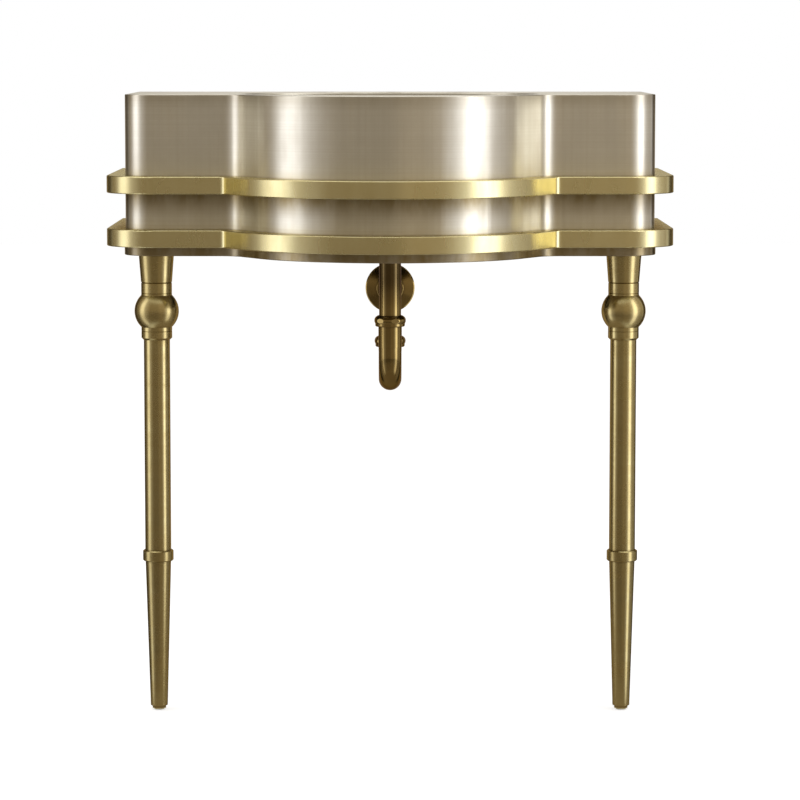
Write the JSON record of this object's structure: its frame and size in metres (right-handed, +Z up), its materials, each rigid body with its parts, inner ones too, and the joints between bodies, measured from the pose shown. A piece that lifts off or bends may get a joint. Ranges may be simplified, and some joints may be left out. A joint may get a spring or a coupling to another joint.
{
  "type": "console sink",
  "caption": "Wall-fixed console sink with a serpentine brushed metal casing, brass bands, turned brass front legs with levelling feet, push stopper and exposed trap.",
  "frame": {"origin": "on the floor, at the middle of the overall width and depth", "axes": "+Z up, the bowed front faces -Y, the wall is at +Y, +X to the right seen from the front"},
  "size_m": [0.816, 0.5569, 0.895],
  "materials": {
    "casing_metal": "brushed nickel silver, warm grey",
    "basin_metal": "satin nickel silver",
    "band_brass": "satin brushed brass",
    "leg_brass": "aged brass, turned and brushed",
    "trap_brass": "dark aged brass",
    "drain_metal": "satin nickel-plated brass",
    "steel": "plain stainless steel",
    "rubber": "black rubber",
    "nylon": "natural nylon"
  },
  "bodies": {
    "console": {"deck": "casing_metal", "apron": "casing_metal", "back_panel": "steel", "wall_plate": "steel", "base_pan": "casing_metal", "basin": "basin_metal", "upper_band": "band_brass", "upper_band_screws": "steel", "lower_band": "band_brass", "lower_band_screws": "steel", "drain_body": "drain_metal", "drain_gasket": "rubber", "drain_friction_ring": "nylon", "drain_lock_nut": "drain_metal", "stopper_cartridge": "nylon", "tailpiece": "trap_brass", "inlet_nut": "trap_brass", "inlet_washer": "rubber", "trap_bend": "trap_brass", "outlet_nut": "trap_brass", "outlet_washer": "rubber", "trap_arm": "trap_brass", "left_leg_cap": "leg_brass", "left_leg_upper_ring": "leg_brass", "left_leg_ball": "leg_brass", "left_leg_lower_ring": "leg_brass", "left_leg_shaft": "leg_brass", "left_leg_collar": "leg_brass", "left_leg_taper": "leg_brass", "left_leg_block": "steel", "left_leg_washer": "steel", "left_leg_nut": "steel", "left_leg_rod": "steel", "right_leg_cap": "leg_brass", "right_leg_upper_ring": "leg_brass", "right_leg_ball": "leg_brass", "right_leg_lower_ring": "leg_brass", "right_leg_shaft": "leg_brass", "right_leg_collar": "leg_brass", "right_leg_taper": "leg_brass", "right_leg_block": "steel", "right_leg_washer": "steel", "right_leg_nut": "steel", "right_leg_rod": "steel"},
    "stopper": {"stopper_cap": "drain_metal", "stopper_seal": "rubber", "stopper_stem": "steel"},
    "wall_flange": {"escutcheon": "trap_brass"},
    "left_foot_glide": {"left_foot_pad": "nylon"},
    "left_foot_screw": {"left_foot_bolt": "leg_brass"},
    "right_foot_glide": {"right_foot_pad": "nylon"},
    "right_foot_screw": {"right_foot_bolt": "leg_brass"}
  },
  "joints": [
    {"name": "left_foot_travel", "type": "slide", "parent": "console", "child": "left_foot_glide", "axis": [0, 0, -1], "range_m": [0, 0.012]},
    {"name": "left_foot_turn", "type": "hinge", "parent": "left_foot_glide", "child": "left_foot_screw", "pos_m": [-0.3373, -0.0375, 0.0035], "axis": [0, 0, -1], "range_deg": [0, 2880]},
    {"name": "right_foot_travel", "type": "slide", "parent": "console", "child": "right_foot_glide", "axis": [0, 0, -1], "range_m": [0, 0.012]},
    {"name": "right_foot_turn", "type": "hinge", "parent": "right_foot_glide", "child": "right_foot_screw", "pos_m": [0.3373, -0.0375, 0.0035], "axis": [0, 0, -1], "range_deg": [0, 2880]},
    {"name": "stopper_press", "type": "slide", "parent": "console", "child": "stopper", "axis": [0, 0, -1], "range_m": [0, 0.009]},
    {"name": "wall_flange_slide", "type": "slide", "parent": "console", "child": "wall_flange", "axis": [0, -1, 0], "range_m": [0, 0.1]}
  ],
  "couplings": [
    {"joint": "left_foot_turn", "follows": "left_foot_travel", "rad_per_m": 4188.8},
    {"joint": "right_foot_turn", "follows": "right_foot_travel", "rad_per_m": 4188.8}
  ]
}
